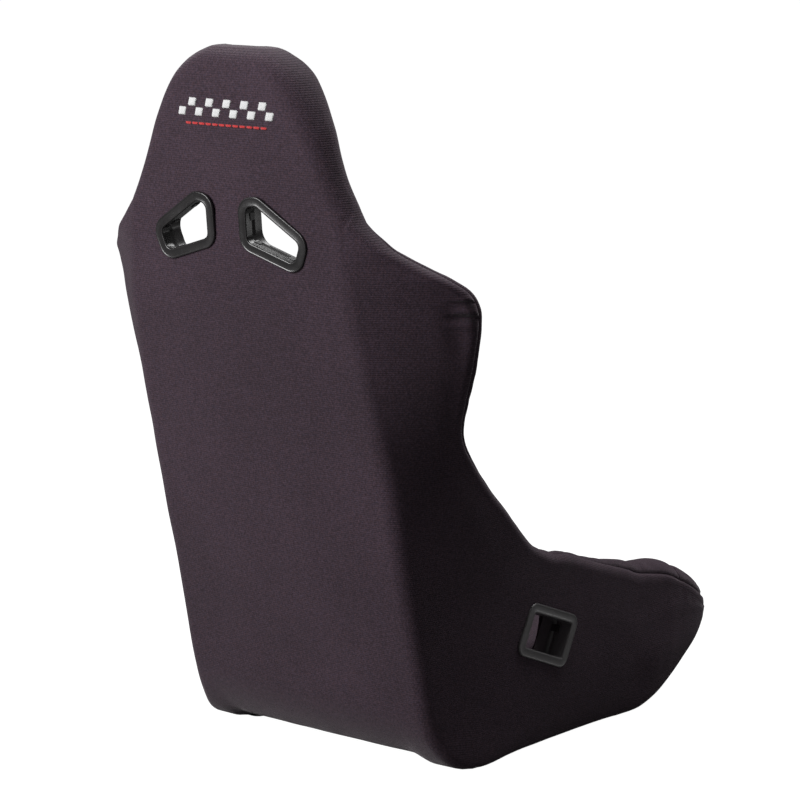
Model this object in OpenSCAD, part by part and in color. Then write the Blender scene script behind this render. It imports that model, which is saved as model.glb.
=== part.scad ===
// Fixed-back bucket seat: a moulded shell with thin foam pads, one stretched
// knit cover over its back and sides, two shoulder-belt slots, two lap-belt
// slots and four bolted feet.  Millimetres, +Z up.  The occupant faces -Y, so
// "right" is the -X side.  The origin is the centre of the four foot bolts, on
// the plane that the feet stand on.

/* [Shell and cover] */
// Wall thickness of the moulded shell
shell_t = 4; // [3:0.5:5]
// Thickness of the stretched rear cover
cover_t = 2; // [1.5:0.5:2]
// Extra half-width at the shoulder wings
wing_extra = 0; // [-8:1:8]
// Extra thickness of the back and seat padding
pad_extra = 0; // [-4:1:6]

/* [Feet and bolts] */
// Bolt spacing across the seat
bolt_x = 335; // [330:1:340]
// Bolt spacing fore and aft
bolt_y = 290; // [286:1:294]
// Radius of the M8 threaded bore
bolt_r = 4; // [3:0.5:5]
// Outer radius of the insert's barrel
insert_r = 8; // [6:0.5:9]
// Radius of the insert's flange
insert_flange_r = 13; // [11:0.5:14]
// Height of a foot block, from the floor to the plate above it
foot_h = 16; // [15:0.5:17]
// Width of a foot block across the seat
foot_w = 50; // [46:1:52]
// Thickness of the steel plate above the feet
plate_t = 3; // [2:0.5:4]
// Width of that plate
plate_w = 30; // [26:1:34]

/* [Belt slots] */
// Thickness of the bezel flanges
flange_t = 3; // [2:0.5:4]
// Width of the shoulder bezel's flange
shoulder_flange_w = 12; // [9:0.5:13]
// Wall of the shoulder bezel's sleeve
shoulder_sleeve_t = 3; // [2:0.5:4]
// Depth of the shoulder tunnel, back face to front face
shoulder_depth = 35; // [33:0.5:36]
// Depth of the rear sleeve, where the tunnel steps out wider
shoulder_step = 14; // [12:0.5:18]
// Width of the lap bezel's flange
lap_flange_w = 12; // [9:0.5:13]
// Wall of the lap bezel's sleeve
lap_sleeve_t = 3; // [2:0.5:4]
// Depth of the lap tunnel, outer face to inner face
lap_depth = 42; // [40:0.5:44]

/* [Underside hem] */
// Half-width of the bare underside opening in the cover
open_x = 138; // [130:1:140]
// Rear end of that opening
open_y1 = 118; // [110:1:120]
// Front end of that opening
open_y0 = -122; // [-126:1:-115]
// Width of the hem strip
hem_w = 12; // [9:1:14]
// Staples along each long side of the hem
staples_long = 7; // [5:1:9]
// Staples along each short side of the hem
staples_short = 8; // [6:1:10]

/* [Hidden] */

gap = 0.3;                 // clearance between neighbouring layers
eps = 0.01;

// The seat is lofted through cross-sections that fan from the head, down the
// back, round the lower corner and along the base to the front edge.  Each row:
//  y, z      the section's foot on the outer centre line
//  phi       how far the section is tipped up from level
//  a         half-width at the outer corner
//  w         half-width at the rim
//  D         depth of the rim above the corner plane
//  rc, rr    radii of the outer corner and of the rim roll
//  crown     how far the middle stands behind the corners
//  dp        depth of the padding's face in the middle
//  xv        half-width of the middle pad, out to its seam
//  ae        angle at which the rim roll hands over to the front trim
SECTIONS = [
 [ 351, 890.0,  0,  36,  36,   7,  3,  3, 0,   3,  16, 140],
 [ 361, 888.5,  0,  48,  48,  26, 12, 12, 0,  16,  22, 140],
 [ 368, 885.0,  0,  58,  58,  40, 19, 19, 0,  30,  20, 140],
 [ 375, 880.0,  0,  68,  68,  52, 25, 25, 0,  42,  20, 140],
 [ 381, 872.0,  0,  79,  79,  64, 29, 29, 0,  54,  23, 140],
 [ 385, 860.0,  0,  91,  91,  71, 32, 32, 0,  62,  29, 140],
 [ 387, 845.0,  0, 103, 103,  71, 33, 33, 1,  66,  38, 140],
 [ 387, 825.0,  0, 116, 116,  67, 32, 32, 2,  66,  52, 140],
 [ 386, 800.0,  0, 129, 129,  61, 30, 30, 3,  62,  68, 140],
 [ 384, 770.0,  0, 143, 143,  55, 27, 27, 4,  54,  87, 140],
 [ 383, 740.0,  0, 155, 155,  51, 25, 25, 5,  44, 104, 140],
 [ 382, 712.0,  0, 169, 169,  51, 25, 25, 6,  36, 119, 140],
 [ 382, 692.0,  0, 180, 182,  52, 27, 25, 6,  35, 132, 140],
 [ 381, 675.0,  0, 188, 200,  56, 30, 24, 6,  35, 138, 140],
 [ 380, 660.0,  0, 194, 218,  63, 35, 24, 6,  35, 140, 140],
 [ 379, 644.0,  0, 198, 240,  81, 40, 24, 6,  35, 142, 140],
 [ 377, 628.0,  0, 201, 264,  99, 42, 23, 6,  35, 142, 140],
 [ 375, 612.0,  0, 202, 279, 116, 42, 22, 6,  36, 142, 140],
 [ 372, 594.0,  0, 202, 284, 122, 40, 20, 6,  37, 142, 140],
 [ 369, 574.0,  0, 201, 284, 122, 36, 19, 6,  38, 142, 140],
 [ 362, 545.0,  0, 200, 279, 116, 32, 18, 6,  40, 142, 140],
 [ 354, 512.0,  0, 200, 270, 111, 29, 18, 6,  42, 142, 140],
 [ 346, 478.0,  0, 200, 257, 108, 27, 18, 6,  44, 142, 140],
 [ 338, 443.0,  0, 200, 243, 108, 26, 18, 6,  46, 142, 140],
 [ 330, 412.0,  2, 200, 234, 116, 25, 18, 6,  48, 142, 140],
 [ 322, 375.0,  4, 200, 228, 136, 24, 18, 6,  50, 144, 140],
 [ 313, 335.0,  6, 199, 226, 158, 23, 18, 6,  52, 146, 140],
 [ 304, 292.0,  9, 198, 225, 183, 22, 18, 6,  54, 148, 140],
 [ 293, 245.0, 13, 197, 224, 204, 21, 18, 6,  56, 150, 140],
 [ 281, 195.0, 19, 197, 223, 224, 20, 18, 6,  60, 152, 140],
 [ 267, 140.0, 27, 197, 222, 252, 18, 18, 5,  68, 154, 138],
 [ 253,  85.0, 34, 197, 222, 286, 17, 18, 4,  86, 156, 134],
 [ 237,  46.0, 39, 199, 222, 312, 16, 18, 3, 110, 157, 128],
 [ 214,  22.0, 42, 204, 221, 322, 14, 18, 2, 132, 158, 120],
 [ 180,  12.0, 43, 208, 221, 318, 12, 18, 1, 142, 158, 112],
 [ 130,   6.0, 46, 211, 221, 300, 11, 19, 0, 142, 158, 106],
 [  75,   4.0, 50, 212, 221, 276, 11, 20, 0, 137, 158, 101],
 [  20,   4.0, 55, 212, 221, 252, 11, 22, 0, 131, 158,  98],
 [ -35,   4.0, 61, 212, 221, 230, 11, 24, 0, 127, 158,  96],
 [ -85,   4.0, 67, 212, 221, 212, 11, 26, 0, 124, 157,  95],
 [-132,   4.0, 73, 212, 221, 202, 12, 27, 0, 122, 156,  94],
 [-174,   7.0, 77, 212, 220, 192, 13, 28, 0, 120, 155,  94],
 [-208,  16.0, 80, 212, 220, 176, 15, 28, 0, 111, 153,  95],
 [-240,  31.0, 83, 212, 219, 151, 18, 28, 0,  97, 149,  96],
 [-270,  50.0, 86, 212, 218, 122, 20, 28, 0,  80, 144,  98],
 [-298,  68.0, 88, 211, 215,  91, 22, 28, 0,  61, 138, 102],
 [-322,  83.0, 90, 207, 209,  61, 24, 26, 0,  42, 130, 112],
 [-338,  96.0, 90, 196, 197,  34, 16, 17, 0,  23, 120, 125],
 [-347, 106.0, 90, 178, 178,  16,  7,  7, 0,   9, 108, 140],
 [-351, 112.0, 90, 156, 156,   6,  2,  2, 0,   2,  96, 140]];

// Rows of the loft where one pad ends and the next begins
I_NECK = 10;   // head pad to back pad
I_LUMB = 24;   // back pad to lumbar pad
I_SEAT = 32;   // lumbar pad to seat cushion
I_HIP  = 30;   // back bolster to thigh bolster
I_ROLL = 43;   // seat cushion to front roll
I_END  = len(SECTIONS) - 1;

// Samples along half a section: 0..2 middle, 3..5 corner, 6..7 wall, 8..10 roll
J_MID = 2;
J_WALL = 7;
J_END = 10;

// ---- one section -------------------------------------------------------
function wing(s) = s[4] + wing_extra * max(0, min(1, (s[4] - 215) / 50));
function c_corner(s) = [s[3] - s[6], s[8] + s[6]];
function c_roll(s) = [wing(s) - s[7], s[8] + s[5] - s[7]];
// direction of the wall's outward normal, as an angle from +x
function wall_angle(s) =
    let (v = c_roll(s) - c_corner(s), l = max(norm(v), 12))
    -atan2(v[0], max(v[1], 3)) + asin(max(-0.9, min(0.9, (s[6] - s[7]) / l)));
function on_circle(c, r, t) = c + r * [cos(t), sin(t)];
function wall_pt(s, u) =
    let (t = wall_angle(s), p = on_circle(c_corner(s), s[6], t),
         q = on_circle(c_roll(s), s[7], t),
         b = 12 * u * (1 - u) * min(1, norm(q - p) / 120))
    p + (q - p) * u + b * [cos(t), sin(t)];
function flat_pt(s, x) = [x, s[8] * pow(x / (s[3] - s[6]), 2)];
// outer surface, j = 0 .. J_END
function outer(s, j) =
    j <= J_MID ? flat_pt(s, min(s[10], s[3] - s[6] - 1) * j / J_MID) :
    j == 3 ? flat_pt(s, s[3] - s[6]) :
    j <= 5 ? on_circle(c_corner(s), s[6], -90 + (wall_angle(s) + 90) * (j - 3) / 2) :
    j <= J_WALL ? wall_pt(s, (j - 5) / 2) :
    on_circle(c_roll(s), s[7],
        wall_angle(s) + (s[11] - wall_angle(s)) * (j - J_WALL) / (J_END - J_WALL));
// front trim: rim roll's end -> seam of the middle pad -> centre
function bez(a, b, c, d, u) = pow(1 - u, 3) * a + 3 * pow(1 - u, 2) * u * b
    + 3 * (1 - u) * u * u * c + pow(u, 3) * d;
function seam_pt(s) = [min(s[10], s[3] - s[6] - 1), max(1, s[9] + pad_extra * min(1, s[9] / 60) - 2)];
function front(s, j) =
    let (v = seam_pt(s), q = on_circle(c_roll(s), s[7], s[11]), l = norm(q - v))
    j <= J_MID ? [v[0] * j / J_MID, v[1] + 2 * sqrt(max(0, 1 - pow(j / J_MID, 2)))] :
    bez(q, q + 0.4 * l * [-sin(s[11]), cos(s[11])], v + l * [0.3, 0.02], v,
        (J_END - j) / (J_END - J_MID));
// section coordinates -> space
function lift(s, p, side) = [side * p[0], s[0] - p[1] * cos(s[2]), s[1] + p[1] * sin(s[2])];

// ---- grids -------------------------------------------------------------
function ends(l) = len(l) - 1;
G0 = [for (s = SECTIONS) [for (j = [-J_END : J_END]) lift(s, outer(s, abs(j)), sign(j))]];
F0 = [for (s = SECTIONS) [for (j = [-J_END : J_END]) lift(s, front(s, abs(j)), sign(j))]];
function unit(v) = v / max(norm(v), 1e-6);
function normal_at(g, i, j) =
    let (a = g[i][min(j + 1, ends(g[i]))] - g[i][max(j - 1, 0)],
         b = g[min(i + 1, ends(g))][j] - g[max(i - 1, 0)][j])
    unit(cross(a, b));
N0 = [for (i = [0 : I_END]) [for (j = [0 : 2 * J_END]) normal_at(G0, i, j)]];
// the outer surface moved inwards by t, and by less where the rim is thin
function inset(t) = [for (i = [0 : I_END]) let (f = t * min(1, SECTIONS[i][7] / 10))
    [for (j = [0 : 2 * J_END]) G0[i][j] - f * N0[i][j]]];
function cut_grid(g, i0, i1, j0, j1) =
    [for (i = [i0 : i1]) [for (j = [j0 + J_END : j1 + J_END]) g[i][j]]];

// a four-sided cell as two triangles, split the mirrored way for x < 0
function cell(a, b, c, d, x) = x > 0 ? [[a, c, b], [a, d, c]] : [[a, d, b], [d, c, b]];

// closed solid between two grids of the same shape
module slab(a, b) {
    n = len(a);
    m = len(a[0]);
    k = n * m;
    e = (n - 1) * m;
    polyhedron(
        points = [for (g = [a, b]) for (r = g) for (p = r) p],
        faces = concat(
            [for (i = [0 : n - 2]) for (j = [0 : m - 2]) each
                cell(i * m + j, i * m + j + 1, (i + 1) * m + j + 1, (i + 1) * m + j,
                     a[i][j][0] + a[i][j + 1][0])],
            [for (i = [0 : n - 2]) for (j = [0 : m - 2]) each
                cell(k + i * m + j + 1, k + i * m + j, k + (i + 1) * m + j, k + (i + 1) * m + j + 1,
                     -a[i][j][0] - a[i][j + 1][0])],
            [for (j = [0 : m - 2]) each
                cell(j + 1, j, k + j, k + j + 1, a[0][j][0] + a[0][j + 1][0])],
            [for (j = [0 : m - 2]) each
                cell(e + j, e + j + 1, k + e + j + 1, k + e + j, a[0][j][0] + a[0][j + 1][0])],
            [for (i = [0 : n - 2]) each
                [[i * m, k + (i + 1) * m, (i + 1) * m], [i * m, k + i * m, k + (i + 1) * m],
                 [i * m + m - 1, (i + 1) * m + m - 1, k + (i + 1) * m + m - 1],
                 [i * m + m - 1, k + (i + 1) * m + m - 1, k + i * m + m - 1]]]),
        convexity = 8);
}

// depths of the layers under the outer surface
d_shell0 = cover_t + gap;
d_shell1 = d_shell0 + shell_t;
d_foam = d_shell1 + gap;
// backing of the foam: on the shell as far as the wall goes, then under the
// cover round the rim roll
FOAM = let (a = inset(d_foam), b = inset(d_shell0))
    [for (i = [0 : I_END]) [for (j = [0 : 2 * J_END])
        abs(j - J_END) <= J_WALL ? a[i][j] : b[i][j]]];

module pad(i0, i1, j0, j1)
    slab(cut_grid(FOAM, i0, i1, j0, j1), cut_grid(F0, i0, i1, j0, j1));

// ---- belt slots --------------------------------------------------------
// centre lines of the slot corners; everything is an offset of these
SHOULDER = [[41, 695.6], [45.9, 696.3], [100.8, 662], [97, 652.1], [41, 669.2]];
LAP = [[63, 179], [-4, 153], [14, 115], [81, 142]];

// plane of the shoulder bezels: leans back 4.9 deg and toes in 2 deg
module at_shoulder()
    translate([70, 379, 670]) rotate([0, 0, -2]) rotate([-4.9, 0, 0])
        rotate([90, 0, 0]) translate([-70, -670, 0]) children();
// plane of the lap bezels: follows the side wall, 2.7 deg in plan
module at_lap()
    translate([219.5, 40, 147.5]) rotate([0, 0, 2.7])
        rotate([90, 0, 90]) translate([-40, -147.5, 0]) children();
module ring(outline, r_out, r_in, h)
    linear_extrude(h) difference() {
        offset(r = r_out, $fn = 40) polygon(outline);
        offset(r = r_in, $fn = 40) polygon(outline);
    }
module on_side(side) { if (side > 0) children(); else mirror([1, 0, 0]) children(); }

shoulder_in = 9;                                   // opening's offset
shoulder_front_in = 19;                            // wider at the front, for the belt's angle
shoulder_mid = shoulder_in + shoulder_sleeve_t;
lap_in = 2;
lap_mid = lap_in + lap_sleeve_t;

// outline grown by r round convex corners
module grown(corners, r) hull() for (p = corners) translate(p) circle(r = r, $fn = 32);
module shoulder_cut() for (s = [-1, 1]) on_side(s) at_shoulder()
    translate([0, 0, -20]) linear_extrude(80) grown(SHOULDER, shoulder_mid + gap);
module shoulder_front_cut() for (s = [-1, 1]) on_side(s) at_shoulder()
    translate([0, 0, shoulder_step]) linear_extrude(50)
        grown(SHOULDER, shoulder_front_in + shoulder_sleeve_t + gap);
module lap_cut() for (s = [-1, 1]) on_side(s) at_lap()
    translate([0, 0, -lap_depth - 30]) linear_extrude(lap_depth + 50)
        grown(LAP, lap_mid + gap);
// room for the inner flanges where they press into the foam
module lap_pocket() for (s = [-1, 1]) on_side(s) at_lap()
    translate([0, 0, -lap_depth - flange_t - 30]) linear_extrude(30 + flange_t + gap)
        grown(LAP, lap_in + lap_flange_w + 1);
module shoulder_pocket() for (s = [-1, 1]) on_side(s) at_shoulder()
    translate([0, 0, shoulder_depth - gap]) linear_extrude(30)
        grown(SHOULDER, shoulder_front_in + shoulder_flange_w + 1);

// ---- feet --------------------------------------------------------------
foot_x = bolt_x / 2 + 8.5;
module foot_outline() for (sx = [-1, 1]) {
    translate([sx * foot_x, bolt_y / 2 - 2]) rounded(foot_w, 56, 12);
    translate([sx * foot_x, -bolt_y / 2 - 5]) rounded(foot_w, 48, 12);
}
module rounded(w, l, r) {
    square([w - 2 * r, l], center = true);
    square([w, l - 2 * r], center = true);
    for (x = [-1, 1]) for (y = [-1, 1])
        translate([x * (w / 2 - r), y * (l / 2 - r)]) circle(r = r, $fn = 48);
}
function box_corners(x, y, w, l) = [for (a = [-1, 1]) for (b = [-1, 1]) [x + a * w / 2, y + b * l / 2]];
module foot_cut() translate([0, 0, -5]) linear_extrude(foot_h + 5)
    for (sx = [-1, 1]) {
        grown(box_corners(sx * foot_x, bolt_y / 2 - 2, foot_w - 24, 32), 12 + gap);
        grown(box_corners(sx * foot_x, -bolt_y / 2 - 5, foot_w - 24, 24), 12 + gap);
    }
module plate_cut() for (s = [-1, 1])
    translate([s * bolt_x / 2, 0, foot_h - gap])
        linear_extrude(plate_t + 8 + gap) square([plate_w + 2 * gap, bolt_y + 40 + 2 * gap], center = true);
module bolt_holes(r, z0, z1) for (x = [-1, 1]) for (y = [-1, 1])
    translate([x * bolt_x / 2, y * bolt_y / 2, z0]) cylinder(r = r, h = z1 - z0, $fn = 48);

// ---- nodes -------------------------------------------------------------
module shell() color([0.05, 0.05, 0.055]) difference() {
    slab(cut_grid(inset(d_shell0), 2, I_END - 3, -J_WALL, J_WALL),
         cut_grid(inset(d_shell1), 2, I_END - 3, -J_WALL, J_WALL));
    shoulder_cut();
    lap_cut();
    foot_cut();
}
module mount_feet() color([0.06, 0.06, 0.06]) difference() {
    linear_extrude(foot_h - gap) foot_outline();
    bolt_holes(insert_r, -1, foot_h + 1);
}
module mount_inserts() color([0.72, 0.72, 0.7]) difference() {
    union() {
        bolt_holes(insert_r, 0.5, foot_h + plate_t);
        bolt_holes(insert_flange_r, foot_h + plate_t, foot_h + plate_t + 3);
    }
    bolt_holes(bolt_r, -1, foot_h + plate_t + 8);
}
module insert_plates() color([0.5, 0.5, 0.52]) difference() {
    for (s = [-1, 1]) translate([s * bolt_x / 2, 0, foot_h])
        linear_extrude(plate_t) square([plate_w, bolt_y + 40], center = true);
    bolt_holes(insert_r, 0, foot_h + plate_t + 1);
}
module rear_cover() color([0.07, 0.06, 0.065]) difference() {
    slab(G0, inset(cover_t));
    shoulder_cut();
    lap_cut();
    foot_cut();
    translate([0, 0, -5]) linear_extrude(25)
        grown(box_corners(0, (open_y0 + open_y1) / 2, 2 * open_x - 40, open_y1 - open_y0 - 40), 20);
}
module hem_strip() color([0.1, 0.1, 0.1])
    translate([0, (open_y0 + open_y1) / 2, 4.4]) linear_extrude(1.6) difference() {
        rounded(2 * open_x - 1, open_y1 - open_y0 - 1, 19.5);
        rounded(2 * (open_x - hem_w), open_y1 - open_y0 - 2 * hem_w, 9);
    }
module hem_staples() color([0.75, 0.75, 0.75])
    translate([0, (open_y0 + open_y1) / 2, 0]) {
        for (s = [-1, 1]) for (k = [0 : staples_long - 1])
            translate([s * (open_x - hem_w / 2), (k - (staples_long - 1) / 2) * 28, 3.9])
                cube([1.2, 11, 1], center = true);
        for (s = [-1, 1]) for (k = [0 : staples_short - 1])
            translate([(k - (staples_short - 1) / 2) * 27, s * ((open_y1 - open_y0) / 2 - hem_w / 2), 3.9])
                cube([11, 1.2, 1], center = true);
    }
module head_pad() color([0.09, 0.08, 0.09]) pad(0, I_NECK, -J_END, J_END);
module back_pad() color([0.1, 0.09, 0.1]) difference() {
    pad(I_NECK, I_LUMB, -J_MID, J_MID);
    shoulder_cut();
    shoulder_front_cut();
    shoulder_pocket();
}
module lumbar_pad() color([0.1, 0.09, 0.1]) pad(I_LUMB, I_SEAT, -J_MID, J_MID);
module back_bolster_left() color([0.09, 0.08, 0.09]) pad(I_NECK, I_HIP, J_MID, J_END);
module back_bolster_right() color([0.09, 0.08, 0.09]) pad(I_NECK, I_HIP, -J_END, -J_MID);
module seat_cushion() color([0.1, 0.09, 0.1]) difference() {
    pad(I_SEAT, I_ROLL, -J_MID, J_MID);
    foot_cut();
    plate_cut();
    bolt_holes(insert_flange_r + gap, foot_h, foot_h + plate_t + 8);
}
module thigh(a, b) difference() {
    pad(I_HIP, I_ROLL, a, b);
    lap_cut();
    lap_pocket();
    foot_cut();
    plate_cut();
    bolt_holes(insert_flange_r + gap, foot_h, foot_h + plate_t + 8);
}
module thigh_bolster_left() color([0.09, 0.08, 0.09]) thigh(J_MID, J_END);
module thigh_bolster_right() color([0.09, 0.08, 0.09]) thigh(-J_END, -J_MID);
module front_roll() color([0.09, 0.08, 0.09]) pad(I_ROLL, I_END, -J_END, J_END);

module shoulder_rear(s) on_side(s) at_shoulder() {
    translate([0, 0, -flange_t]) ring(SHOULDER, shoulder_in + shoulder_flange_w, shoulder_in, flange_t);
    translate([0, 0, -eps]) ring(SHOULDER, shoulder_mid, shoulder_in, shoulder_step - gap);
}
module shoulder_front(s) on_side(s) at_shoulder() {
    translate([0, 0, shoulder_depth])
        ring(SHOULDER, shoulder_front_in + shoulder_flange_w, shoulder_front_in, flange_t);
    translate([0, 0, shoulder_step + gap])
        ring(SHOULDER, shoulder_front_in + shoulder_sleeve_t, shoulder_front_in,
             shoulder_depth - shoulder_step - gap + eps);
}
module lap_outer(s) on_side(s) at_lap() {
    ring(LAP, lap_in + lap_flange_w, lap_in, flange_t);
    translate([0, 0, -lap_depth / 2]) ring(LAP, lap_mid, lap_in, lap_depth / 2 + eps);
}
module lap_inner(s) on_side(s) at_lap() {
    translate([0, 0, -lap_depth - flange_t]) ring(LAP, lap_in + lap_flange_w, lap_in, flange_t);
    translate([0, 0, -lap_depth - eps]) ring(LAP, lap_mid, lap_in, lap_depth / 2 - 0.1 + eps);
}
module shoulder_bezel_rear_left() color([0.12, 0.12, 0.13]) shoulder_rear(1);
module shoulder_bezel_rear_right() color([0.12, 0.12, 0.13]) shoulder_rear(-1);
module shoulder_bezel_front_left() color([0.12, 0.12, 0.13]) shoulder_front(1);
module shoulder_bezel_front_right() color([0.12, 0.12, 0.13]) shoulder_front(-1);
module lap_bezel_outer_left() color([0.13, 0.13, 0.14]) lap_outer(1);
module lap_bezel_outer_right() color([0.13, 0.13, 0.14]) lap_outer(-1);
module lap_bezel_inner_left() color([0.13, 0.13, 0.14]) lap_inner(1);
module lap_bezel_inner_right() color([0.13, 0.13, 0.14]) lap_inner(-1);

shell();
mount_feet();
mount_inserts();
insert_plates();
rear_cover();
hem_strip();
hem_staples();
head_pad();
back_pad();
lumbar_pad();
back_bolster_left();
back_bolster_right();
seat_cushion();
thigh_bolster_left();
thigh_bolster_right();
front_roll();
shoulder_bezel_rear_left();
shoulder_bezel_rear_right();
shoulder_bezel_front_left();
shoulder_bezel_front_right();
lap_bezel_outer_left();
lap_bezel_outer_right();
lap_bezel_inner_left();
lap_bezel_inner_right();
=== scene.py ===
import math

import bpy
import bmesh
import numpy as np
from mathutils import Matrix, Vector
from mathutils.bvhtree import BVHTree


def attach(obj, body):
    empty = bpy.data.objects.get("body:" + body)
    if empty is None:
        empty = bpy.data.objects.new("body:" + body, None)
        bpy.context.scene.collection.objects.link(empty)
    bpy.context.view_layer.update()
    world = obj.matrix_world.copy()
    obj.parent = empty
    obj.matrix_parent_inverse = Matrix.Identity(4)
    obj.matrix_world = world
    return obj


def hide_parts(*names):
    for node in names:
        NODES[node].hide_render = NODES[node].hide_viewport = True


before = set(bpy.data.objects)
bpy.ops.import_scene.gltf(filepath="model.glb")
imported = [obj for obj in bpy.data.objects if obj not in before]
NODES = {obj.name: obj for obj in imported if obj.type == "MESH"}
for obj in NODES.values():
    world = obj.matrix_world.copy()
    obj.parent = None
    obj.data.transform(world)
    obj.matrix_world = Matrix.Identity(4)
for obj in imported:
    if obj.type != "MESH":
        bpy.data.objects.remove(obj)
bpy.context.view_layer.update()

# ---------------------------------------------------------------- the loft
# Cross-sections from the head's top, down the back, round the lower corner and
# along the base to the nose, in millimetres.  Columns: y, z, tip angle, corner
# half-width, rim half-width, rim depth, corner radius, roll radius, crown,
# padding depth, seam half-width, roll's end angle.
ST = np.array([
    [351, 890, 0, 36, 36, 7, 3, 3, 0, 3, 16, 140],
    [361, 888.5, 0, 48, 48, 26, 12, 12, 0, 16, 22, 140],
    [368, 885, 0, 58, 58, 40, 19, 19, 0, 30, 20, 140],
    [375, 880, 0, 68, 68, 52, 25, 25, 0, 42, 20, 140],
    [381, 872, 0, 79, 79, 64, 29, 29, 0, 54, 23, 140],
    [385, 860, 0, 91, 91, 71, 32, 32, 0, 62, 29, 140],
    [387, 845, 0, 103, 103, 71, 33, 33, 1, 66, 38, 140],
    [387, 825, 0, 116, 116, 67, 32, 32, 2, 66, 52, 140],
    [386, 800, 0, 129, 129, 61, 30, 30, 3, 62, 68, 140],
    [384, 770, 0, 143, 143, 55, 27, 27, 4, 54, 87, 140],
    [383, 740, 0, 155, 155, 51, 25, 25, 5, 44, 104, 140],
    [382, 712, 0, 169, 169, 51, 25, 25, 6, 36, 119, 140],
    [382, 692, 0, 180, 182, 52, 27, 25, 6, 35, 132, 140],
    [381, 675, 0, 188, 200, 56, 30, 24, 6, 35, 138, 140],
    [380, 660, 0, 194, 218, 63, 35, 24, 6, 35, 140, 140],
    [379, 644, 0, 198, 240, 81, 40, 24, 6, 35, 142, 140],
    [377, 628, 0, 201, 264, 99, 42, 23, 6, 35, 142, 140],
    [375, 612, 0, 202, 279, 116, 42, 22, 6, 36, 142, 140],
    [372, 594, 0, 202, 284, 122, 40, 20, 6, 37, 142, 140],
    [369, 574, 0, 201, 284, 122, 36, 19, 6, 38, 142, 140],
    [362, 545, 0, 200, 279, 116, 32, 18, 6, 40, 142, 140],
    [354, 512, 0, 200, 270, 111, 29, 18, 6, 42, 142, 140],
    [346, 478, 0, 200, 257, 108, 27, 18, 6, 44, 142, 140],
    [338, 443, 0, 200, 243, 108, 26, 18, 6, 46, 142, 140],
    [330, 412, 2, 200, 234, 116, 25, 18, 6, 48, 142, 140],
    [322, 375, 4, 200, 228, 136, 24, 18, 6, 50, 144, 140],
    [313, 335, 6, 199, 226, 158, 23, 18, 6, 52, 146, 140],
    [304, 292, 9, 198, 225, 183, 22, 18, 6, 54, 148, 140],
    [293, 245, 13, 197, 224, 204, 21, 18, 6, 56, 150, 140],
    [281, 195, 19, 197, 223, 224, 20, 18, 6, 60, 152, 140],
    [267, 140, 27, 197, 222, 252, 18, 18, 5, 68, 154, 138],
    [253, 85, 34, 197, 222, 286, 17, 18, 4, 86, 156, 134],
    [237, 46, 39, 199, 222, 312, 16, 18, 3, 110, 157, 128],
    [214, 22, 42, 204, 221, 322, 14, 18, 2, 132, 158, 120],
    [180, 12, 43, 208, 221, 318, 12, 18, 1, 142, 158, 112],
    [130, 6, 46, 211, 221, 300, 11, 19, 0, 142, 158, 106],
    [75, 4, 50, 212, 221, 276, 11, 20, 0, 137, 158, 101],
    [20, 4, 55, 212, 221, 252, 11, 22, 0, 131, 158, 98],
    [-35, 4, 61, 212, 221, 230, 11, 24, 0, 127, 158, 96],
    [-85, 4, 67, 212, 221, 212, 11, 26, 0, 124, 157, 95],
    [-132, 4, 73, 212, 221, 202, 12, 27, 0, 122, 156, 94],
    [-174, 7, 77, 212, 220, 192, 13, 28, 0, 120, 155, 94],
    [-208, 16, 80, 212, 220, 176, 15, 28, 0, 111, 153, 95],
    [-240, 31, 83, 212, 219, 151, 18, 28, 0, 97, 149, 96],
    [-270, 50, 86, 212, 218, 122, 20, 28, 0, 80, 144, 98],
    [-298, 68, 88, 211, 215, 91, 22, 28, 0, 61, 138, 102],
    [-322, 83, 90, 207, 209, 61, 24, 26, 0, 42, 130, 112],
    [-338, 96, 90, 196, 197, 34, 16, 17, 0, 23, 120, 125],
    [-347, 106, 90, 178, 178, 16, 7, 7, 0, 9, 108, 140],
    [-351, 112, 90, 156, 156, 6, 2, 2, 0, 2, 96, 140],
], float)
N_ROWS = len(ST)
I_NECK, I_LUMB, I_HIP, I_SEAT, I_ROLL = 10, 24, 30, 32, 43

# Where the cover's front edge sits on the rim roll: 0 at the roll's start, 1
# at its end.  It runs along the roll's outer side by the shoulders and the
# waist and over the top of the rim along the base.
EDGE_AT = np.interp(np.arange(N_ROWS),
                    [0, 5, 10, 15, 17, 19, 24, 27, 30, 34, 37, 40, 42, 46, 47, 49],
                    [.55, .53, .52, .48, .36, .29, .27, .38, .56, .62, .52, .36, .26, .22, .32, .5])
EDGE_AT = np.convolve(np.pad(EDGE_AT, 2, mode="edge"), [1 / 9, 2 / 9, 3 / 9, 2 / 9, 1 / 9], mode="valid")
# How far the bolsters' crest stands above the rim, and how far in
CREST = np.interp(np.arange(N_ROWS),
                  [0, 30, 33, 37, 40, 43, 45, 47, 48, 49],
                  [0, 0, 2, 3, 1, 0, 2, 3.5, 2, 0])

_cum = np.zeros(N_ROWS)
for _i in range(1, N_ROWS):
    _cum[_i] = _cum[_i - 1] + max(math.hypot(ST[_i, 0] - ST[_i - 1, 0], ST[_i, 1] - ST[_i - 1, 1]), 6)


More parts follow.
